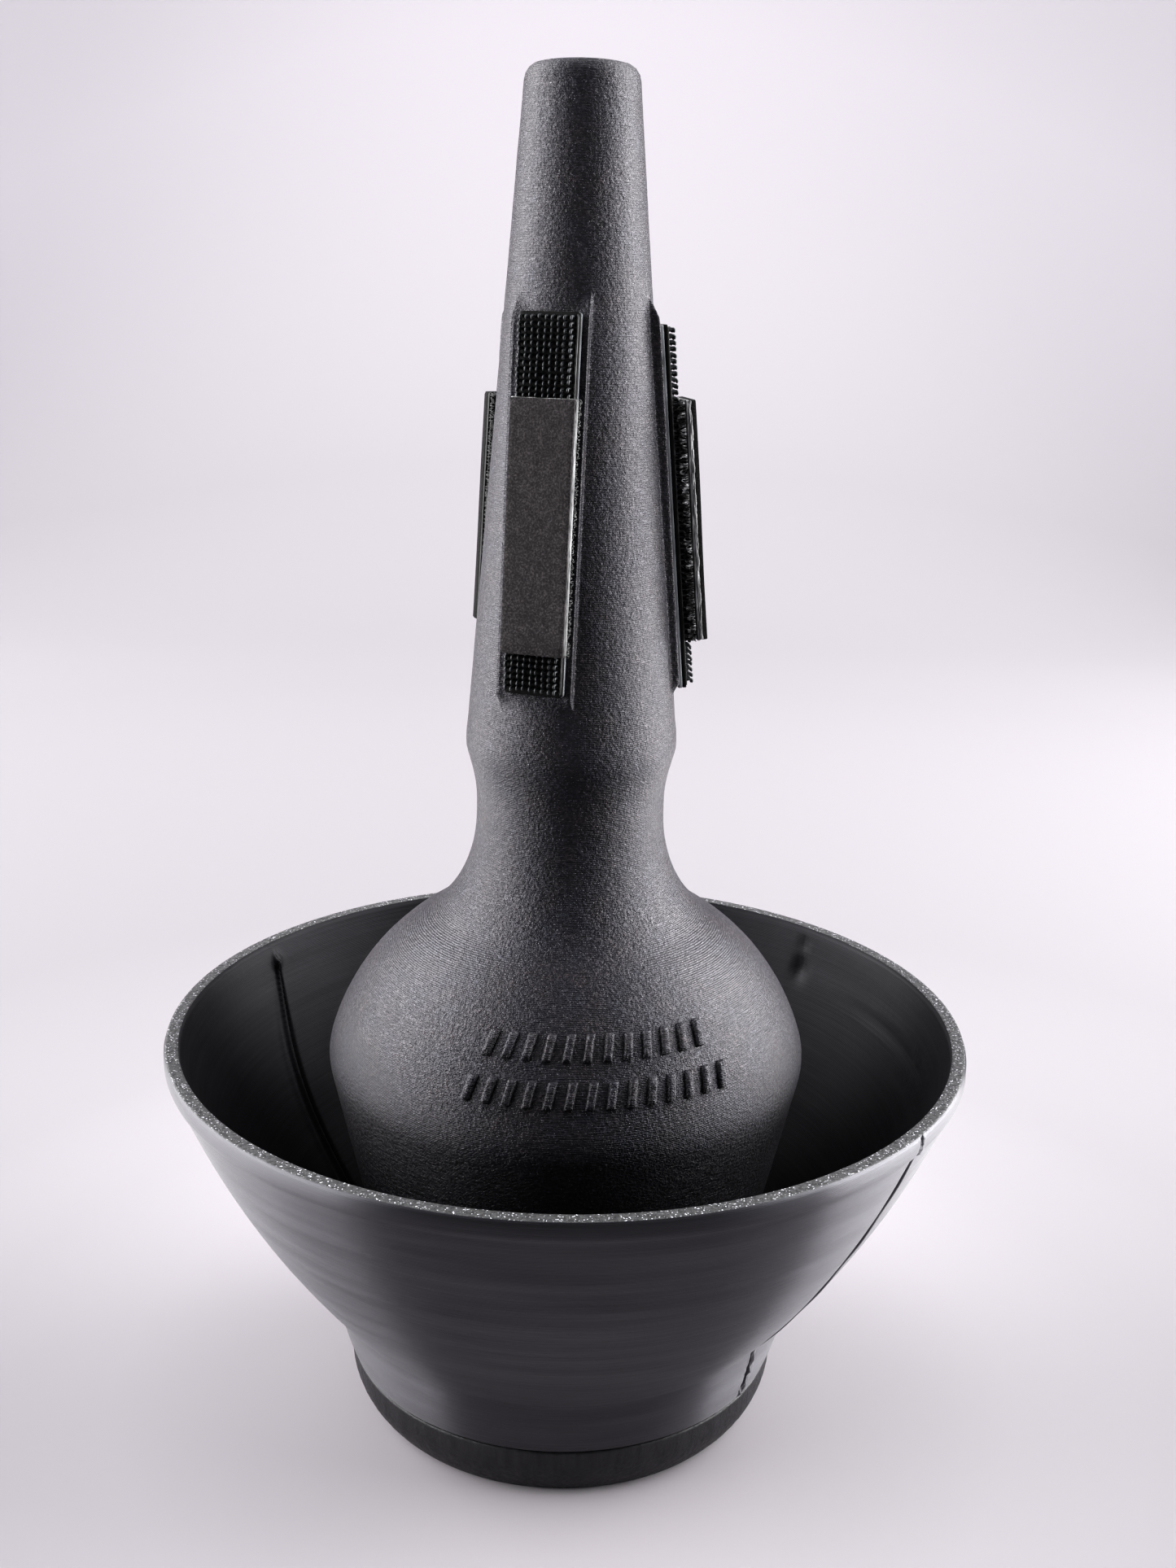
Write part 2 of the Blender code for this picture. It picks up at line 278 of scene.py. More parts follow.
def glue_material():
    """The grey glue layer under the hook tape, paler where it is smooth."""
    shade = Shade("glue", Roughness=0.3)
    smear = shade.noise(1.0, 3, 0.6, shade.stretched(800, 800, 160))
    shade.set("Base Color", shade.ramp(smear, [(0.3, grey(0.09, -0.03)), (0.7, grey(0.36, -0.05))]))
    shade.set("Roughness", shade.ramp(smear, [(0.3, 0.45), (0.7, 0.22)]))
    shade.set("Normal", shade.bump(smear, 0.08 * MM, 0.8))
    return shade.material


def loop_material(name, share):
    """Tangled nylon loops: mostly black, with paler patches as bright as the share says; the patches are
    painted highlights, and a small share is painted shade.
    """
    shade = Shade(name, Roughness=0.42)
    patches = shade.noise(1100, 2, 0.6)
    # Painted highlights: the paler patches; the share makes each strip's copy lighter or darker as painted
    # light and shade.
    tone = [(0.42, grey(0.012)), (0.56, grey(0.14 * share)), (0.68, grey(0.55 * share))]
    shade.set("Base Color", shade.ramp(patches, tone))
    shade.set("Normal", shade.bump(patches, 0.05 * MM, 0.5))
    return shade.material


def backing_material(name, share):
    """Glue and backing between the loops and the foam, as pale as the share says; the share is painted
    light and shade on each strip's copy.
    """
    shade = Shade(name, Roughness=0.6)
    wear = shade.noise(1.0, 3, 0.6, shade.stretched(900, 900, 260))
    # Painted light and shade: a larger share paints this strip's copy lighter, a smaller one darker.
    tone = [(0.3, grey(0.06 * share)), (0.5, grey(0.20 * share)), (0.68, grey(0.48 * share))]
    shade.set("Base Color", shade.ramp(wear, tone))
    shade.set("Normal", shade.bump(wear, 0.06 * MM, 0.7))
    return shade.material


def foam_material(name, share):
    """Closed-cell foam: warm black, with a fine fuzzy grain, darker for a smaller share, which is painted
    shade.
    """
    shade = Shade(name, Roughness=0.85)
    cells = shade.noise(3900, 3, 0.65)
    patches = shade.noise(700, 2, 0.5)
    both = shade.math("ADD", shade.math("MULTIPLY", cells, 0.8), shade.math("MULTIPLY", patches, 0.2))
    # Painted shade: a smaller share darkens this pad's copy of the foam.
    levels = [(0.40, 0.014 * share), (0.52, 0.036 * share), (0.64, 0.088 * share)]
    shade.set("Base Color", shade.ramp(both, [(at, (v * 1.09, v * 0.96, v * 1.00)) for at, v in levels]))
    shade.set("Normal", shade.bump(cells, 0.12 * MM, 1.0))
    return shade.material


# Mesh building -------------------------------------------------------------------------------


def make_piece(name, vertices, faces, materials, slots=None):
    """A smooth-shaded mesh object; slots gives each face's material."""
    mesh = bpy.data.meshes.new(name)
    mesh.from_pydata([tuple(v) for v in vertices], [], faces)
    for material in materials:
        mesh.materials.append(material)
    if slots is not None:
        mesh.polygons.foreach_set("material_index", slots)
    mesh.polygons.foreach_set("use_smooth", [True] * len(mesh.polygons))
    mesh.update()
    piece = bpy.data.objects.new(name, mesh)
    bpy.context.scene.collection.objects.link(piece)
    return piece


def attach(piece, body, node):
    """The piece rides on the body and stands for the CAD node."""
    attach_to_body(piece, body)
    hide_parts(node)
    return piece


def arc_between(start, end, radius, steps):
    """Points after start up to end, on an arc that bulges away from the axis going down."""
    a = Vector(start)
    b = Vector(end)
    half = (b - a).length / 2
    along = (b - a).normalized()
    inward = Vector((along.y, -along.x))
    centre = (a + b) / 2 + inward * math.sqrt(radius**2 - half**2)
    first = a - centre
    sweep = 2 * math.asin(half / radius)
    points = []
    for i in range(1, steps + 1):
        c = math.cos(-sweep * i / steps)
        s = math.sin(-sweep * i / steps)
        points.append((centre.x + c * first.x - s * first.y, centre.y + s * first.x + c * first.y))
    return points


def bezier(points, steps):
    """Points after the first on a cubic Bezier curve."""
    made = []
    for i in range(1, steps + 1):
        t = i / steps
        weights = ((1 - t) ** 3, 3 * t * (1 - t) ** 2, 3 * t * t * (1 - t), t**3)
        made.append(tuple(sum(w * p[k] for w, p in zip(weights, points)) for k in (0, 1)))
    return made


def resample(points, step):
    """Points spaced evenly along a line, and its outward normals (the line runs down the outside)."""
    points = np.array(points, float)
    lengths = np.hypot(*np.diff(points, axis=0).T)
    along = np.concatenate([[0], np.cumsum(lengths)])
    count = max(2, int(round(along[-1] / step)) + 1)
    at = np.linspace(0, along[-1], count)
    spaced = np.stack([np.interp(at, along, points[:, k]) for k in (0, 1)], 1)
    tangent = np.gradient(spaced, axis=0)
    tangent /= np.linalg.norm(tangent, axis=1, keepdims=True)
    return spaced, np.stack([-tangent[:, 1], tangent[:, 0]], 1)


def turned_grid(radius, height, angles):
    """Points of a turned surface: radius and height per row (and column), angles per column."""
    radius = np.broadcast_to(radius, np.broadcast_shapes(radius.shape, (1, len(angles))))
    height = np.broadcast_to(height, radius.shape)
    return np.stack([radius * np.sin(angles), -radius * np.cos(angles), height], -1)


def grid_faces(rows, columns, wrap_rows=False):
    """Quads of a grid whose columns wrap round, facing away from the axis when rows run down."""
    row = np.arange(rows if wrap_rows else rows - 1)[:, None]
    column = np.arange(columns)[None, :]
    beside = (column + 1) % columns
    below = (row + 1) % rows
    corners = ((row, column), (below, column), (below, beside), (row, beside))
    quads = np.stack([r * columns + c for r, c in corners], -1)
    return quads.reshape(-1, 4).tolist()


def pushed_grid(radius, height, normals, push, angles):
    """A turned surface whose points are moved out along the line's normals by push."""
    return turned_grid(radius + push * normals[:, :1], height + push * normals[:, 1:], angles)


def roughen(points, size, depth, offset=0.0):
    """Smooth noise of about that size at each point, up to depth either way."""
    flat = points.reshape(-1, 3) / size + offset
    made = np.fromiter((noise.noise(p) for p in flat), float, len(flat))
    return (made * depth).reshape(points.shape[:-1])


def soft_max(a, b, width):
    """The larger of two numbers, rounded over where they cross."""
    return (a + b + np.sqrt((a - b) ** 2 + width**2)) / 2


def soft_min(a, b, width):
    return -soft_max(-a, -b, width)


def smooth_step(x):
    """Eases from 0 to 1 as x does."""
    x = np.clip(x, 0, 1)
    return x * x * (3 - 2 * x)


# Core ----------------------------------------------------------------------------------------


def cone_radius(height):
    return CONE_FOOT[0] - CONE_TAPER * (height - CONE_FOOT[1])


def plug_radius(height):
    return PLUG_TOP[0] - PLUG_TAPER * (PLUG_TOP[1] - height)


def core_side(inset):
    """The core's side from the waist down to the plug, moved in by the wall's thickness."""
    waist = WAIST_RADIUS - inset
    out = Vector((math.cos(SHOULDER_SLOPE), math.sin(SHOULDER_SLOPE)))
    down = Vector((math.sin(SHOULDER_SLOPE), -math.cos(SHOULDER_SLOPE)))
    shoulder = Vector(SHOULDER_TOP) - out * inset
    corner_out = Vector((math.cos(math.radians(18)), math.sin(math.radians(18))))
    corner = Vector(CORNER_TOP) - corner_out * inset
    plug = Vector(PLUG_TOP) - Vector((1, -PLUG_TAPER)).normalized() * inset
    pull = shoulder - down * 4.5 * MM
    side = [(waist, WAIST_TOP), (waist, WAIST_FOOT)]
    side += bezier([(waist, WAIST_FOOT), (waist, WAIST_FOOT - 9 * MM), pull, shoulder], 40)
    side += arc_between(shoulder, corner, SHOULDER_RADIUS - inset, 40)
    side += arc_between(corner, plug, CORNER_RADIUS - inset, 16)
    return side


def core_outline():
    """The outer line from the mouth's edge over the lip and down to the plug's heel."""
    lip_foot = CORE_TOP - LIP_FILLET
    start = (cone_radius(lip_foot) - LIP_FILLET, CORE_TOP)
    line = [(cone_radius(CORE_TOP) - CORE_WALL, CORE_TOP - 0.3 * MM)]
    line += [(cone_radius(CORE_TOP) - CORE_WALL + 0.3 * MM, CORE_TOP), start]
    line += arc_between(start, (cone_radius(lip_foot), lip_foot), LIP_FILLET, 12)
    ridge_top = (RIDGE[0] + 0.02 * MM, RIDGE[1] + 1.2 * MM)
    ridge_foot = (RIDGE[0] - 0.16 * MM, RIDGE[1] - 0.8 * MM)
    waist = (WAIST_RADIUS, WAIST_TOP)
    pull_out = (CONE_FOOT[0] + 0.12 * MM, CONE_FOOT[1] - 1.2 * MM)
    line += bezier([CONE_FOOT, pull_out, ridge_top, ridge_foot], 10)
    pull_in = (ridge_foot[0] - 0.42 * MM, ridge_foot[1] - 1.8 * MM)
    line += bezier([ridge_foot, pull_in, (waist[0], waist[1] + 3.6 * MM), waist], 14)
    line += core_side(0)[1:]
    heel = PLUG_FOOT + 1.5 * MM
    return line + [(plug_radius(heel), heel)]


def core_inside():
    """The inner line from the mouth down to the inside of the closed end."""
    floor = PLUG_FOOT + END_WALL
    line = [(cone_radius(CORE_TOP) - CORE_WALL, CORE_TOP - 0.3 * MM)]
    line += [(cone_radius(CONE_FOOT[1]) - CORE_WALL, RIDGE[1])]
    line += core_side(CORE_WALL)
    return line + [(plug_radius(floor) - CORE_WALL, floor), (0.5 * MM, floor)]


def boss_radius(angle, height):
    """Radius of a boss's surface at an angle from its middle, with crisp sides and a top ramp."""
    slope = (BOSS_FOOT[0] - BOSS_TOP[0]) / (BOSS_TOP[1] - BOSS_FOOT[1])
    distance = BOSS_FOOT[0] - slope * (height - BOSS_FOOT[1])
    near = np.abs(angle) < 0.9
    bend = np.cos(np.clip(angle, -0.9, 0.9))
    beside = np.abs(distance * np.tan(np.clip(angle, -0.9, 0.9)))
    rib = 0.09 * MM * np.exp(-(((beside - BOSS_HALF_WIDTH + 0.28 * MM) / (0.22 * MM)) ** 2))
    face = (distance + rib) / bend
    side = (distance + 0.9 * MM) / bend - (beside - BOSS_HALF_WIDTH) * 3.2
    ramp = distance / bend + (BOSS_TOP[1] + 0.1 * MM - height) * 0.56
    foot = distance / bend + (height - BOSS_FOOT[1] + 0.4 * MM) * 1.2
    made = soft_min(face, side, 0.16 * MM)
    made = soft_min(made, ramp, 0.25 * MM)
    return np.where(near, soft_min(made, foot, 0.25 * MM), 0.0)


def core_angles():
    """Column angles, closer together where the bosses' sides are."""
    beside = [side * d for side in (-1, 1) for d in np.arange(18, 31, 0.5)]
    fine = [math.radians(azimuth + d) for azimuth in STRIPS.values() for d in beside]
    even = np.radians(np.arange(0, 360, 2.0))
    every = np.mod(np.concatenate([even, fine]), math.tau)
    return np.unique(np.round(every, 4))


def bossed_radius(radius, height, angles):
    """The turned radius with the bosses joined on."""
    made = np.repeat(radius[:, None], len(angles), 1)
    for azimuth in STRIPS.values():
        turn = np.mod(angles - math.radians(azimuth) + math.pi, math.tau) - math.pi
        boss = boss_radius(turn[None, :], height[:, None])
        made = np.where(boss > 0, soft_max(made, boss, 0.22 * MM), made)
    return made


def build_core(skin):
    """The core's one closed print, with its slightly uneven skin on the outside."""
    angles = core_angles()
    outer, normals = resample(core_outline(), 0.84 * MM)
    radius = bossed_radius(outer[:, 0], outer[:, 1], angles)
    height = outer[:, 1:]
    points = turned_grid(radius, height, angles)
    fuzz = roughen(points, 1.3 * MM, 0.02 * MM) + roughen(points, 6.0 * MM, 0.03 * MM, 11.0)
    fuzz[0] = 0
    points = pushed_grid(radius, height, normals, fuzz, angles)
    inner, _ = resample(core_inside()[::-1], 3.0 * MM)
    inside = turned_grid(inner[:-1, :1], inner[:-1, 1:], angles)
    foot_radii = np.array([[plug_radius(PLUG_FOOT) - 1.5 * MM], [0.5 * MM]])
    foot = turned_grid(foot_radii, np.full_like(foot_radii, PLUG_FOOT), angles)
    rows = np.concatenate([inside, points, foot])
    count = len(angles)
    faces = grid_faces(len(rows), count)
    faces.append(list(range(count)))
    faces.append([(len(rows) - 1) * count + i for i in range(count)][::-1])
    piece = make_piece("core", rows.reshape(-1, 3), faces, [skin])
    return attach(piece, "core", "core_shell")


def core_surface(angle, height):
    """A point on the bulb and its outward normal."""
    line, normals = resample(core_side(0), 0.1 * MM)
    order = np.argsort(line[:, 1])
    values = (line[:, 0], normals[:, 0], normals[:, 1])
    radius, out, up = (np.interp(height, line[order, 1], value[order]) for value in values)
    radial = Vector((math.sin(angle), -math.cos(angle), 0))
    return radial * radius + Vector((0, 0, height)), (radial * out + Vector((0, 0, up))).normalized()


RELIEF_MIDDLE = math.radians(9.0)
RELIEF_ROWS = (  # foot, top, half the row's span, number of bars
    (69.2 * MM, 72.6 * MM, math.radians(28), 12),
    (63.5 * MM, 67.2 * MM, math.radians(31), 14),
)
BAR_HALF_WIDTH = 0.78 * MM
BAR_SLANT = 0.42 * MM
BAR_SUNK = 0.35 * MM
BAR_DEPTH = 1.0 * MM


def bar_point(at, height, radius, u, v):
    """A point of a bar's face: u runs across it and v up it, from -1 to 1."""
    turn = at + (u * BAR_HALF_WIDTH + v * BAR_SLANT) / radius
    point, normal = core_surface(turn, height)
    rounding = (1 - abs(u) ** 4) * (1 - abs(v) ** 8)
    wear = 0.10 * MM * noise.noise(point / (0.5 * MM)) + 0.06 * MM * noise.noise(point / (0.22 * MM))
    return point + normal * (BAR_DEPTH * max(rounding, 0) ** 0.6 - BAR_SUNK + wear)


def build_relief(skin):
    """Two rows of plain slanted bars raised on the bulb."""
    bars = []
    for low, high, half_span, count in RELIEF_ROWS:
        for i in range(count):
            bars.append((RELIEF_MIDDLE + half_span * (2 * i / (count - 1) - 1), low, high))
    across = np.linspace(-1, 1, 9)
    along = np.linspace(-1, 1, 17)
    vertices = []
    faces = []
    for at, low, high in bars:
        first = len(vertices)
        for v in along:
            height = (low + high) / 2 + v * (high - low) / 2
            middle, _ = core_surface(at, height)
            radius = math.hypot(middle.x, middle.y)
            vertices += [bar_point(at, height, radius, u, v) for u in across]
        for i in range(len(along) - 1):
            for j in range(len(across) - 1):
                a = first + i * len(across) + j
                faces.append([a, a + 1, a + 1 + len(across), a + len(across)])
    piece = make_piece("core_relief", vertices, faces, [skin])
    solid = piece.modifiers.new("Depth", "SOLIDIFY")
    solid.thickness = 0.5 * MM
    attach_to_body(piece, "core")
    return piece


# Cup and base --------------------------------------------------------------------------------


def cup_lines():
    """The cup's outline in two parts: down the outside from the rim, then up the inside."""
    lip_foot = RIM_HEIGHT - LIP_HEIGHT
    bowl_top = (RIM_RADIUS - LIP_STEP, lip_foot - 0.45 * MM)
    outside = [(RIM_RADIUS - RIM_EDGE, RIM_HEIGHT), (RIM_RADIUS, RIM_HEIGHT - RIM_EDGE)]
    outside += [(RIM_RADIUS, lip_foot + 0.25 * MM), (RIM_RADIUS - 0.2 * MM, lip_foot), bowl_top]
    outside += arc_between(bowl_top, BOWL_FOOT, BOWL_RADIUS, 70)
    outside += arc_between(BOWL_FOOT, COLLAR_FOOT, COLLAR_RADIUS, 16)
    socket = SPIGOT_RADIUS + FIT
    outside += [(socket, COLLAR_FOOT[1]), (socket, SOCKET_TOP), (plug_radius(SOCKET_TOP) + FIT, SOCKET_TOP)]
    rim_inner = (RIM_RADIUS - BOWL_WALL, RIM_HEIGHT)
    shelf = (SHELF_RADIUS, SHELF_HEIGHT)
    inside = [rim_inner] + arc_between(rim_inner, shelf, BOWL_RADIUS - BOWL_WALL, 60)
    inside += [(plug_radius(SHELF_HEIGHT) + 1.3 * MM, SHELF_HEIGHT)]
    inside += [(plug_radius(SHELF_HEIGHT - MM) + FIT, SHELF_HEIGHT - MM)]
    return outside, inside[::-1]


SEAM_OUTSIDE = math.radians(52)
SEAM_INSIDE = math.radians(-119)
MARKS_AZIMUTH = math.radians(133)
# Waxy marks inside the cup, in mm: how far round from that azimuth, how high, half width, half height.
MARKS = ((0, 55.2, 1.3, 1.7), (0.6, 59.2, 0.6, 0.7), (-38, 54.5, 0.4, 0.4))
SCRATCH_AZIMUTH = math.radians(88)
SCRATCH_HEIGHT = 53.2 * MM


def turn_from(angles, centre):
    """Angles measured from a centre, between minus and plus half a turn."""
    return np.mod(angles - centre + math.pi, math.tau) - math.pi


def seam_outside(radius, height, angles):
    """The seam down the outside: a cut line with a raised edge."""
    wander = 0.4 * MM * np.sin(height / (9 * MM))
    wander = wander + 0.9 * MM * smooth_step((height - 57 * MM) / (5 * MM)) ** 2
    beside = turn_from(angles[None, :], SEAM_OUTSIDE) * radius[:, None] - wander[:, None]
    cut = -0.55 * MM * np.exp(-((beside / (0.26 * MM)) ** 2))
    edge = 0.18 * MM * np.exp(-(((beside - 0.60 * MM) / (0.35 * MM)) ** 2))
    fade = 0.5 + 0.5 * np.sin(height / (3.3 * MM) + 1.0)[:, None] ** 2
    return (cut + edge) * fade


def seam_inside(radius, height, angles):
    """The seam down the inside: a smeared ridge beside a groove, blobbed at its top."""
    share = np.clip((59.5 * MM - height) / (34.5 * MM), 0, 1)
    centre = SEAM_INSIDE + math.radians(9) * share + math.radians(0.35) * np.sin(height / (5 * MM))
    beside = turn_from(angles[None, :], 0.0) - turn_from(centre, 0.0)[:, None]
    beside = turn_from(beside, 0.0) * radius[:, None]
    swell = (0.45 + 0.75 * smooth_step(share * 2.2))[:, None]
    ridge = 0.60 * MM * np.exp(-(((beside - 0.75 * MM * swell) / (0.55 * MM * swell)) ** 2))
    second = np.exp(-(((beside - 2.1 * MM * swell) / (0.5 * MM * swell)) ** 2))
    second = 0.22 * MM * second * (swell - 0.45)
    groove = -0.60 * MM * np.exp(-(((beside + 0.20 * MM) / (0.42 * MM * swell)) ** 2))
    rise = height[:, None] - 58.7 * MM
    blob = 0.8 * MM * np.exp(-((beside / (1.0 * MM)) ** 2) - ((rise / (0.8 * MM)) ** 2))
    reach = smooth_step((60 * MM - height) / (2 * MM))[:, None]
    return (ridge + second + groove) * reach + blob


def cup_angles():
    """Column angles, closer together at the two seams."""
    spans = ((SEAM_OUTSIDE, -5, 5), (SEAM_INSIDE, -3, 14))
    fine = [c + math.radians(d) for c, low, high in spans for d in np.arange(low, high, 0.2)]
    even = np.radians(np.arange(0, 360, 0.9))
    every = np.mod(np.concatenate([even, fine]), math.tau)
    return np.unique(np.round(every, 4))


def outside_push(outer, angles):
    """How far the cup's outside stands out: the seam, its rough scar on the collar and a slow ripple."""
    radius, height = outer[:, :1], outer[:, 1:]
    points = turned_grid(radius, height, angles)
    scar = roughen(points, 0.6 * MM, 0.75 * MM)
    on_scar = np.exp(-((turn_from(angles[None, :], SEAM_OUTSIDE + 0.02) * radius / (0.9 * MM)) ** 2))
    on_scar = on_scar * smooth_step((18 * MM - height) / (2 * MM))
    visible = smooth_step((height - 8.4 * MM) / (1.0 * MM))
    push = (seam_outside(outer[:, 0], outer[:, 1], angles) + scar * on_scar) * visible
    push = push + roughen(points, 14 * MM, 0.05 * MM, 3.0) * visible
    push[0] = 0
    return push


def inside_push(inner, angles):
    """How far the cup's inside stands out: the seam, a ripple, three waxy marks and a scratch."""
    radius, height = inner[:, :1], inner[:, 1:]
    push = seam_inside(inner[:, 0], inner[:, 1], angles)
    push = push + roughen(turned_grid(radius, height, angles), 11 * MM, 0.05 * MM, 5.0)
    beside = turn_from(angles[None, :], MARKS_AZIMUTH) * radius
    for side, level, wide, tall in MARKS:
        shape = ((beside - side * MM) / (wide * MM)) ** 2 + ((height - level * MM) / (tall * MM)) ** 2
        push = push - 0.70 * MM * np.exp(-shape)
    turn = turn_from(angles, SCRATCH_AZIMUTH)
    sweep = smooth_step((turn + 0.02) / 0.1) * smooth_step((math.radians(40) - turn) / 0.3)
    push = push - 0.20 * MM * np.exp(-(((height - SCRATCH_HEIGHT) / (0.5 * MM)) ** 2)) * sweep[None, :]
    return push * smooth_step((height - SHELF_HEIGHT - MM) / MM) * smooth_step((RIM_HEIGHT - height) / MM)


def build_cup(skin, rim_skin, inner_skin):
    """The cup's one closed print, in three finishes: outside, inside and the rim's top."""
    angles = cup_angles()
    outside, inside = cup_lines()
    outer, outer_normals = resample(outside, 0.75 * MM)
    inner, inner_normals = resample(inside, 0.9 * MM)
    push = outside_push(outer, angles)
    out_points = pushed_grid(outer[:, :1], outer[:, 1:], outer_normals, push, angles)
    push = inside_push(inner, angles)
    in_points = pushed_grid(inner[:, :1], inner[:, 1:], inner_normals, push, angles)
    across = np.linspace(0, 1, 6)[1:-1, None]
    top = RIM_RADIUS - BOWL_WALL + across * (BOWL_WALL - RIM_EDGE)
    top_points = turned_grid(top, np.full_like(top, RIM_HEIGHT), angles)
    top_points[..., 2] += roughen(top_points, 0.7 * MM, 0.10 * MM)
    rows = np.concatenate([out_points, in_points, top_points])
    count = len(angles)
    faces = grid_faces(len(rows), count, wrap_rows=True)
    slots = np.zeros((len(rows), count), int)
    slots[len(out_points) - 1 :] = 2
    slots[len(out_points) + len(in_points) - 1 :] = 1
    piece = make_piece("cup", rows.reshape(-1, 3), faces, [skin, rim_skin, inner_skin], slots.ravel())
    return attach(piece, "cup", "cup_bowl")


def build_base(skin):
    """The base band and foot, a little rough."""
    side = [(SPIGOT_RADIUS - 0.5 * MM, SPIGOT_TOP), (SPIGOT_RADIUS, SPIGOT_TOP - 0.5 * MM)]
    side += [(SPIGOT_RADIUS, CAP_TOP), (CAP_RADIUS - 0.15 * MM, CAP_TOP)]
    side += [(CAP_RADIUS, CAP_TOP - 0.15 * MM), (CAP_RADIUS, CAP_SIDE_FOOT)]
    side += arc_between((CAP_RADIUS, CAP_SIDE_FOOT), (FOOT_RADIUS, 0), CAP_ROUNDING, 30)
    side += [(FOOT_RADIUS - 0.2 * MM, 0), (0.5 * MM, 0)]
    angles = np.radians(np.arange(0, 360, 0.9))
    line, normals = resample(side, 0.35 * MM)
    points = turned_grid(line[:, :1], line[:, 1:], angles)
    edge = (smooth_step((line[:, 0] - 31.0 * MM) / MM) * (line[:, 1] > 0.02 * MM))[:, None]
    push = roughen(points, 0.8 * MM, 0.05 * MM) * edge
    outer = pushed_grid(line[:, :1], line[:, 1:], normals, push, angles)
    recess = [(0.5 * MM, CAP_FLOOR), (plug_radius(CAP_FLOOR) + FIT, CAP_FLOOR)]
    recess += [(plug_radius(SPIGOT_TOP) + FIT, SPIGOT_TOP)]
    inner, _ = resample(recess, 2.0 * MM)
    rows = np.concatenate([turned_grid(inner[:, :1], inner[:, 1:], angles), outer])
    count = len(angles)
    faces = grid_faces(len(rows), count)
    faces.append(list(range(count)))
    faces.append([(len(rows) - 1) * count + i for i in range(count)][::-1])
    piece = make_piece("base", rows.reshape(-1, 3), faces, [skin])
    return attach(piece, "cup", "base_cap")


# Strips --------------------------------------------------------------------------------------


class Strip:
    """The place of a flat CAD slab: X across, Y up its slope, Z out from the core."""

    def __init__(self, node):
        points = np.array([v.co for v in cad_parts[node].data.vertices])
        middle = (points.min(0) + points.max(0)) / 2
        _, _, axes = np.linalg.svd(points - points.mean(0), full_matrices=False)
        up = Vector(axes[0] if axes[0][2] > 0 else -axes[0])
        out = Vector(axes[2])
        radial = Vector((middle[0], middle[1], 0))
        if out.dot(radial) < 0:
            out = -out
        across = up.cross(out)
        self.axes = Matrix((across, up, out)).transposed()
        local = (points - points.mean(0)) @ np.array(self.axes)
        low, high = local.min(0), local.max(0)
        centre = Vector(points.mean(0)) + self.axes @ Vector((low + high) / 2)
        self.width, self.length, self.thickness = high - low
        self.origin = centre - self.axes.col[2] * self.thickness / 2

    def place(self, points):
        """Points given as (across, up, out) from the slab's back, put in the row frame."""
        return np.array(points) @ np.array(self.axes).T + np.array(self.origin)


def round_oblong(width, length, corner, steps):
    """Evenly spaced points round an oblong with round corners."""
    outline = []
    for cx, cy, start in ((1, -1, -90), (1, 1, 0), (-1, 1, 90), (-1, -1, 180)):
        for i in range(steps + 1):
            turn = math.radians(start + 90 * i / steps)
            x = cx * (width / 2 - corner) + corner * math.cos(turn)
            y = cy * (length / 2 - corner) + corner * math.sin(turn)
            outline.append((x, y))
    spaced, _ = resample(outline + outline[:1], 0.45 * MM)
    return spaced[:-1]


def stacked_faces(rings, count):
    """Quads between rings of points that run the same way, with the first and last ring closed."""
    faces = []
    for i in range(rings - 1):
        for j in range(count):
            k = (j + 1) % count
            faces.append([i * count + j, i * count + k, (i + 1) * count + k, (i + 1) * count + j])
    faces.append(list(range(count))[::-1])
    faces.append([(rings - 1) * count + j for j in range(count)])
    return faces


def slab_shape(width, length, thickness, corner, steps, edge, wave=0.0):
    """Points and faces of a flat strip with round corners, rounded edges and, with wave, a wavy face."""
    outline = round_oblong(width, length, corner, steps)
    rings = [(edge, 0), (edge * 0.3, edge * 0.3), (0, edge), (0, thickness - edge)]
    rings += [(edge * 0.3, thickness - edge * 0.3), (edge, thickness)]
    limit = np.array([width, length]) / 2 - max(corner, 1.5 * edge)
    inward = np.clip(outline, -limit, limit) - outline
    inward = inward / np.maximum(np.linalg.norm(inward, axis=1, keepdims=True), 1e-9)
    rows = []
    for inset, height in rings:
        ring = outline + inward * inset
        rows.append(np.column_stack([ring, np.full(len(ring), height)]))
    top = rows[-1]
    bottom = rows[0]
    for share in (0.85, 0.55, 0.2):
        rows.append(np.column_stack([top[:, :2] * share, np.full(len(top), thickness)]))
        rows.insert(0, np.column_stack([bottom[:, :2] * share, np.zeros(len(top))]))
    points = np.concatenate(rows)
    points[:, 2] += wave * np.sin(points[:, 1] / (4.5 * MM)) * (points[:, 2] > thickness * 0.5)
    return points, stacked_faces(len(rows), len(outline))


def tube(path, radius, sides):
    """Points and faces of a closed thin tube along a path of points."""
    path = np.array(path, float)
    tangent = np.gradient(path, axis=0)
    tangent /= np.linalg.norm(tangent, axis=1, keepdims=True)
    side = np.cross(tangent, [1.0, 0.13, 0.07])
    side /= np.linalg.norm(side, axis=1, keepdims=True)
    other = np.cross(tangent, side)
    turns = np.arange(sides) * math.tau / sides
    radius = np.broadcast_to(radius, len(path))
    ring = side[:, None] * np.cos(turns)[None, :, None] + other[:, None] * np.sin(turns)[None, :, None]
    points = path[:, None] + ring * radius[:, None, None]
    return points.reshape(-1, 3), stacked_faces(len(path), sides)


def joined(shapes):
    """Several (points, faces) shapes as one."""
    points, faces, first = [], [], 0
    for shape_points, shape_faces in shapes:
        points.append(shape_points)
        faces += [[i + first for i in face] for face in shape_faces]
        first += len(shape_points)
    return np.concatenate(points), faces


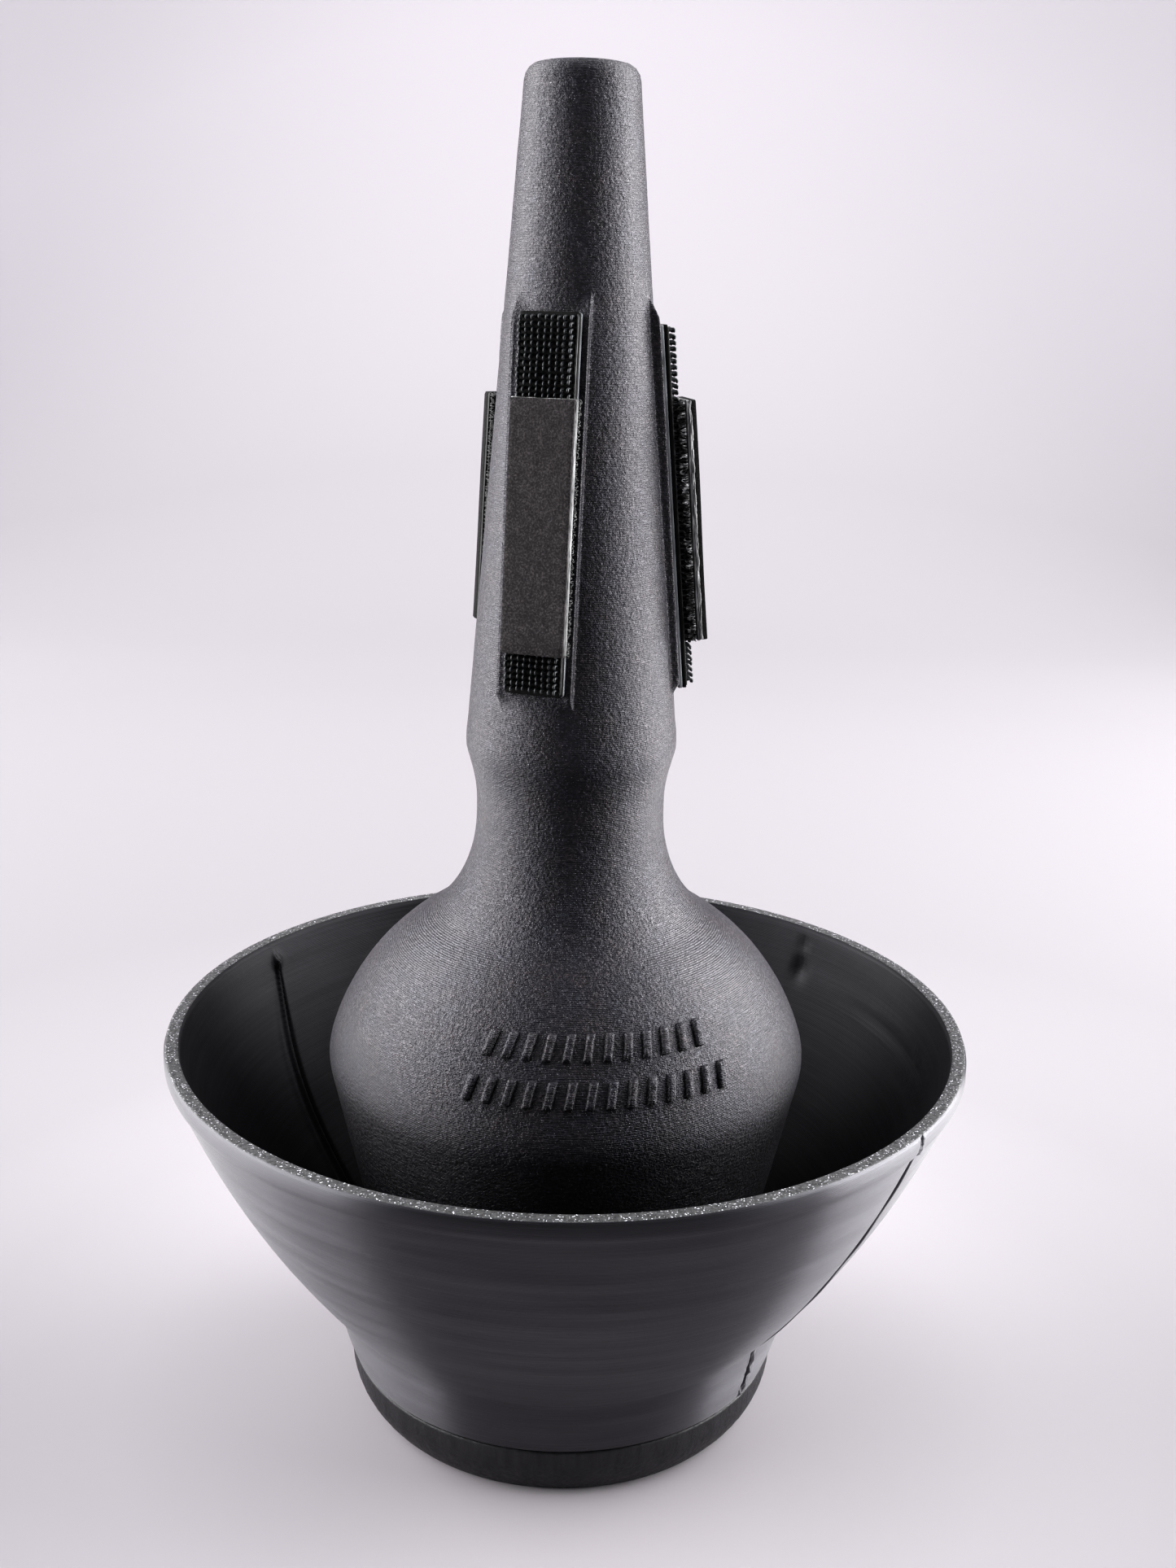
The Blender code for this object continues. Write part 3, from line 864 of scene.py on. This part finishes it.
HOOK_PITCH = 0.84 * MM
HOOK_COLUMNS = 9
HOOK_RADIUS = 0.18 * MM
HOOK_BEND = 0.26 * MM
FILM = 0.5 * MM
SELVAGE = 0.42 * MM  # bare width along the film's right edge


def hook_shape():
    """One moulded hook: an upright stem whose end curls over and down the slope."""
    stem = [(0, 0, FILM - 0.05 * MM), (0, 0, FILM + 0.30 * MM), (0, 0, FILM + 0.60 * MM)]
    for i in range(1, 7):
        turn = math.radians(150) * i / 6
        side = -HOOK_BEND * (1 - math.cos(turn))
        stem.append((0, side, FILM + 0.72 * MM + HOOK_BEND * math.sin(turn)))
    return tube(stem, np.array([1.35, 1.1, 1, 1, 1, 1, 1, 0.95, 0.8]) * HOOK_RADIUS, 6)


def bead(strip, side, start, end, level, radius, seed):
    """An uneven bead of glue along an edge of a strip: side 1 or -1 is right or left, 0 its top."""
    generator = np.random.default_rng(seed)
    count = int(abs(end - start) / (0.25 * MM))
    along = np.linspace(start, end, count)
    sway = np.convolve(generator.normal(0, 0.05 * MM, count + 4), np.ones(5) / 5, "valid")
    lift = np.convolve(generator.normal(0, 0.06 * MM, count + 4), np.ones(5) / 5, "valid")
    if side:
        path = np.column_stack([side * (strip.width / 2 + sway), along, level + lift])
    else:
        path = np.column_stack([along, strip.length / 2 + sway, level + lift])
    swell = radius * (1 + np.convolve(generator.normal(0, 0.45, count + 4), np.ones(5) / 5, "valid"))
    return tube(path, np.clip(swell, 0.35 * radius, 1.5 * radius), 6)


def build_hook_tape(name, skin, film_skin, edge_skin):
    """A film with rows of hooks, a rib painted pale as a highlight along its right edge and a fringe along
    its left.
    """
    strip = Strip("hook_tape_" + name)
    film = slab_shape(strip.width, strip.length, FILM, 0.35 * MM, 4, 0.08 * MM)
    rib = slab_shape(0.22 * MM, strip.length - 0.5 * MM, 0.26 * MM, 0.10 * MM, 2, 0.06 * MM)
    rib[0][:] += [strip.width / 2 - 0.20 * MM, 0, FILM - 0.04 * MM]
    fringe = slab_shape(0.14 * MM, strip.length - 0.8 * MM, 0.16 * MM, 0.05 * MM, 2, 0.03 * MM)
    fringe[0][:] += [-strip.width / 2 + 0.10 * MM, 0, FILM - 0.04 * MM]
    generator = np.random.default_rng(SEED + len(name))
    rows = int((strip.length - 0.8 * MM) / HOOK_PITCH)
    left = -strip.width / 2 + 0.45 * MM
    step = (strip.width - 0.45 * MM - SELVAGE - 0.35 * MM) / (HOOK_COLUMNS - 1)
    points, faces = hook_shape()
    hooks = []
    for row in range(rows):
        for column in range(HOOK_COLUMNS):
            x = left + column * step + generator.normal(0, 0.02 * MM)
            y = (row - (rows - 1) / 2) * HOOK_PITCH + 0.2 * MM + generator.normal(0, 0.03 * MM)
            lean = generator.normal(0, 0.06, 2)
            moved = points.copy()
            moved[:, 0] += x + lean[0] * (points[:, 2] - FILM)
            moved[:, 1] += y + lean[1] * (points[:, 2] - FILM)
            hooks.append((moved, faces))
    groups = [(joined(hooks), 0), (film, 1), (joined([rib, fringe]), 2)]
    points, faces = joined([shape for shape, _ in groups])
    slots = [slot for shape, slot in groups for _ in shape[1]]
    piece = make_piece("hook_tape_" + name, strip.place(points), faces, [skin, film_skin, edge_skin], slots)
    return attach(piece, "core", "hook_tape_" + name)


def build_glue(name, skin):
    """The glue layer under a hook tape."""
    strip = Strip("hook_adhesive_" + name)
    points, faces = slab_shape(strip.width, strip.length, strip.thickness, 0.35 * MM, 4, 0.06 * MM)
    piece = make_piece("hook_adhesive_" + name, strip.place(points), faces, [skin])
    return attach(piece, "core", "hook_adhesive_" + name)


def edge_spot(along, half):
    """The point that far round a strip's edge, and the direction in from it."""
    half_lap = 2 * half.sum()
    side = 1 if along < half_lap else -1
    up = along % half_lap
    if up < 2 * half[1]:
        return np.array([side * half[0], (up - half[1]) * side]), np.array([-side, 0.0])
    back = up - 2 * half[1]
    return np.array([(half[0] - back) * side, side * half[1]]), np.array([0.0, -side])


def loop_shape(spot, high, generator):
    """A thin nylon loop that reaches from the tape's back in among the hooks and out again."""
    low = -generator.uniform(0.1, 0.85) * MM
    reach = generator.uniform(0.15, 0.45) * MM
    heading = generator.uniform(0, math.tau)
    sway = np.array([math.cos(heading), math.sin(heading)])
    path = []
    for k in range(7):
        t = k / 6
        flat = spot + sway * reach * (t - 0.5) * 2 + generator.normal(0, 0.05 * MM, 2)
        path.append((flat[0], flat[1], high + (low - high) * math.sin(math.pi * t)))
    return tube(path, generator.uniform(0.05, 0.10) * MM, 5)


def build_loops(name, skin):
    """The loop tape: a thin woven back with tangled loops all round its edge."""
    strip = Strip("loop_tape_" + name)
    generator = np.random.default_rng(SEED + 31 + len(name))
    back = slab_shape(strip.width - 0.3 * MM, strip.length - 0.3 * MM, 0.28 * MM, 0.3 * MM, 3, 0.05 * MM)
    back[0][:, 2] += strip.thickness - 0.28 * MM
    shapes = [back]
    half = np.array([strip.width / 2, strip.length / 2])
    perimeter = 4 * half.sum()
    count = int(perimeter / (0.20 * MM))
    for i in range(count):
        along = (i + generator.uniform(-0.4, 0.4)) / count * perimeter
        spot, inward = edge_spot(along, half)
        spot = spot + inward * abs(generator.normal(0.12, 0.16)) * MM
        shapes.append(loop_shape(spot, strip.thickness - 0.15 * MM, generator))
    points, faces = joined(shapes)
    limit = half + 0.12 * MM
    points[:, :2] = np.clip(points[:, :2], -limit, limit)
    piece = make_piece("loop_tape_" + name, strip.place(points), faces, [skin])
    return attach(piece, "pad_" + name, "loop_tape_" + name)


def build_backing(name, skin):
    """The glue layer, squeezed out at the front pad's right and top and at the right pad's left."""
    strip = Strip("pad_adhesive_" + name)
    proud = 0.10 * MM
    layer = slab_shape(strip.width + proud, strip.length + proud, strip.thickness, 0.2 * MM, 3, 0.06 * MM)
    layer[0][:, 2] += 0.01 * MM
    half = strip.length / 2
    low, high = -half + 0.15 * MM, half - 0.05 * MM
    level = strip.thickness
    beads = []
    if name == "front":
        for i, rise in enumerate((0.08 * MM, 0.28 * MM, 0.48 * MM, 0.68 * MM)):
            beads.append(bead(strip, 1, low, high, level + rise, 0.085 * MM, SEED + i))
        wide = strip.width / 2
        beads.append(bead(strip, 0, 0.1 * MM - wide, wide, level + 0.75 * MM, 0.07 * MM, SEED + 9))
    if name == "right":
        for i, rise in enumerate((0.02 * MM, 0.22 * MM)):
            beads.append(bead(strip, -1, low, high, level + rise, 0.15 * MM, SEED + 20 + i))
    points, faces = joined([layer] + beads)
    piece = make_piece("pad_adhesive_" + name, strip.place(points), faces, [skin])
    return attach(piece, "pad_" + name, "pad_adhesive_" + name)


def build_foam(name, skin):
    """A flat foam pad, a little wavy along its face."""
    strip = Strip("foam_pad_" + name)
    wave = 0.04 * MM
    points, faces = slab_shape(strip.width, strip.length, strip.thickness, 0.25 * MM, 4, 0.07 * MM, wave)
    piece = make_piece("foam_pad_" + name, strip.place(points), faces, [skin])
    attach(piece, "pad_" + name, "foam_pad_" + name)
    return piece


# Stage ---------------------------------------------------------------------------------------


def card_material():
    """Dull black card, faintly clouded."""
    shade = Shade("dark_card", Roughness=0.9)
    colour = (0.012, 0.012, 0.014)
    cloud = shade.noise(3, 2, 0.5)
    shade.set("Base Color", shade.ramp(cloud, [(0.3, [c * 0.98 for c in colour]), (0.7, colour)]))
    return shade.material


def floor_material():
    """Pale paper whose tone depends on the distance from the object, as painted light: paler close by,
    where it lifts the object's shadow, and paler far off up the wall.
    """
    shade = Shade("pale_floor_painted_light", Roughness=0.9)
    distance = shade.node("ShaderNodeVectorMath", {0: shade.place}, operation="LENGTH").outputs["Value"]
    share = shade.math("MULTIPLY", distance, 0.7)  # so that the ramp reaches 1.4 m
    # Painted light: these tones brighten the paper near the object and up the wall in place of a lamp.
    tones = [(0.030, 0.42), (0.050, 0.40), (0.070, 0.34), (0.095, 0.29), (0.15, 0.26), (0.36, 0.28)]
    tones += [(0.60, 0.34), (0.75, 0.43), (0.80, 0.46)]
    shade.set("Base Color", shade.ramp(share, [(at, (v * 1.04, v * 0.98, v * 1.03)) for at, v in tones]))
    return shade.material


def build_floor():
    """A pale floor that curves up into a pale wall behind."""
    depth, reach, bend, wide = 1.1, 1.6, 0.5, 3.0
    line = [(-reach, 0.0), (depth - bend, 0.0)]
    for i in range(1, 17):
        turn = math.radians(90 * i / 16)
        line.append((depth - bend + bend * math.sin(turn), bend - bend * math.cos(turn)))
    line.append((depth, 2.2))
    vertices = [(x, y, z - 0.05 * MM) for y, z in line for x in (-wide, wide)]
    faces = [[2 * i, 2 * i + 1, 2 * i + 3, 2 * i + 2] for i in range(len(line) - 1)]
    cove = make_piece("floor", vertices, faces, [floor_material()])


def soft_box(name, place, target, size, energy, spread=180):
    """A large soft light that the camera doesn't see, fanning out by spread degrees."""
    light = bpy.data.lights.new(name, "AREA")
    light.shape = "RECTANGLE"
    light.size, light.size_y = size
    light.energy = energy
    light.spread = math.radians(spread)
    lamp = bpy.data.objects.new(name, light)
    lamp.location = place
    lamp.rotation_euler = (Vector(target) - Vector(place)).to_track_quat("-Z", "Y").to_euler()
    lamp.visible_camera = False
    bpy.context.scene.collection.objects.link(lamp)


def build_card():
    """An upright dark card behind the camera that is only there for the reflections."""
    wide, back, top = 0.52, -0.46, 1.4
    corners = [(-wide, back, 0), (wide, back, 0), (wide, back, top), (-wide, back, top)]
    card = make_piece("front_card", corners, [[0, 1, 2, 3]], [card_material()])
    card.visible_camera = False


def build_lights():
    """A faint cold surround, and each soft light's place, target, size, power and spread."""
    world = bpy.data.worlds.new("surround")
    world.use_nodes = True
    background = world.node_tree.nodes["Background"]
    background.inputs["Color"].default_value = (0.84, 0.89, 1.0, 1)
    background.inputs["Strength"].default_value = 0.42
    bpy.context.scene.world = world
    soft_box("left", (-0.60, 0.10, 0.40), (0, 0.10, 0.34), (1.10, 0.78), 8.5, 130)
    soft_box("right_low", (0.58, 0.14, 0.14), (0, 0.10, 0.14), (0.72, 0.28), 3.7, 140)
    soft_box("right_high", (0.60, 0.16, 0.66), (0, 0.10, 0.40), (0.90, 0.44), 4.2, 140)
    soft_box("bounce_left", (-0.165, 0.08, 0.004), (-0.165, 0.08, 1.0), (0.16, 0.26), 0.12)
    soft_box("bounce_right", (0.165, 0.08, 0.004), (0.165, 0.08, 1.0), (0.16, 0.26), 0.12)
    soft_box("above", (0.0, 0.25, 1.05), (0, 0.1, 0.0), (1.2, 0.9), 2.8)
    soft_box("wall", (0.0, 0.55, 0.80), (0, 1.10, 0.10), (2.4, 0.5), 6.0)


LENS = 38.3  # mm, on a sensor's long side of 36 mm
SENSOR = 36.0
CAMERA_PLACE = (0.0026, -0.2399, 0.1687)
CAMERA_DOWN = math.radians(16.04)
CAMERA_ROLL = math.radians(1.15)


def build_camera():
    camera = bpy.data.cameras.new("camera")
    camera.lens = LENS
    camera.sensor_width = SENSOR
    camera.clip_start = 0.01
    view = bpy.data.objects.new("camera", camera)
    pitch = Matrix.Rotation(math.pi / 2 - CAMERA_DOWN, 4, "X")
    roll = Matrix.Rotation(CAMERA_ROLL, 4, "Z")
    view.matrix_world = Matrix.Translation(CAMERA_PLACE) @ pitch @ roll
    bpy.context.scene.collection.objects.link(view)
    bpy.context.scene.camera = view


def build_mute():
    """The core with its raised bars, the cup and the base."""
    core_skin = core_material()
    build_core(core_skin)
    build_relief(core_skin)
    outer_skin = cup_material("cup_skin", 0.40, 1.0, 1.0, 0.05 * MM)
    inner_skin = cup_material("cup_inside", 0.42, 0.16, 0.3, 0.02 * MM)
    build_cup(outer_skin, rim_material(), inner_skin)
    build_base(cap_material())


def build_strips():
    """The three strips; each has its own copies of the loop, backing and foam colours, made lighter or
    darker as painted light and shade, and the rear one has the darkest painted shade.
    """
    hooks, glue = hook_material(), glue_material()
    # Painted light and shade: the shares light the right strip's loops and backing, and shade the rear's
    # and the right and rear foam.
    loops = {
        "front": loop_material("loop_pile", 0.3),
        "right": loop_material("loop_painted_highlights", 1.3),
        "rear": loop_material("loop_painted_shade", 0.1),
    }
    film, selvage = film_material(), selvage_material()
    backing = {
        "front": backing_material("pale_backing", 1.0),
        "right": backing_material("backing_painted_light", 1.3),
        "rear": backing_material("backing_painted_shade", 0.08),
    }
    foam = {"front": foam_material("foam_skin", 1.0), "rear": foam_material("foam_painted_shade", 0.25)}
    foam["right"] = foam["rear"]
    for name in STRIPS:
        build_glue(name, glue)
        build_hook_tape(name, hooks, film, selvage)
        build_loops(name, loops[name])
        build_backing(name, backing[name])
        build_foam(name, foam[name])


build_mute()
build_strips()
build_floor()
build_lights()
build_card()
build_camera()
bpy.context.scene.view_settings.view_transform = "Standard"
bpy.context.scene.view_settings.look = "High Contrast"
